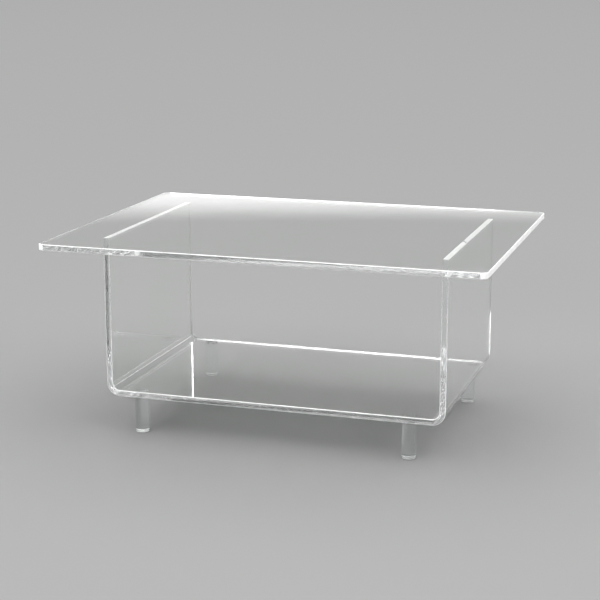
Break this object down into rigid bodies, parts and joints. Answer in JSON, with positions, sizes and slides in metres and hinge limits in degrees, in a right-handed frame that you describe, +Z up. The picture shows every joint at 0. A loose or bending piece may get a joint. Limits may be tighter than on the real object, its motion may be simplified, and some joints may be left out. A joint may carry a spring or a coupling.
{
  "type": "tiered shelf riser",
  "caption": "Clear acrylic two-tier riser: a flat top sheet cemented onto a U-bent sheet that forms both uprights and the lower shelf, standing on short round rod legs.",
  "frame": {"origin": "centre of the overall bounding box's base, on the surface that the feet stand on", "axes": "+X to the right along the width seen from the front, +Y towards the back, +Z up"},
  "size_m": [0.406, 0.3, 0.1842],
  "materials": {
    "clear_acrylic_sheet": "clear cast acrylic sheet, polished faces, saw-cut and polished edges",
    "clear_acrylic_rod": "clear acrylic rod, turned square and polished at the lower end",
    "cured_cement": "cured acrylic cement film, faintly hazy with small bubbles"
  },
  "bodies": {
    "root": {"top_shelf": "clear_acrylic_sheet", "bent_frame": "clear_acrylic_sheet", "cement_upright_left": "cured_cement", "cement_upright_right": "cured_cement", "leg_front_left": "clear_acrylic_rod", "cement_leg_front_left": "cured_cement", "leg_rear_left": "clear_acrylic_rod", "cement_leg_rear_left": "cured_cement", "leg_front_right": "clear_acrylic_rod", "cement_leg_front_right": "cured_cement", "leg_rear_right": "clear_acrylic_rod", "cement_leg_rear_right": "cured_cement"}
  },
  "joints": []
}
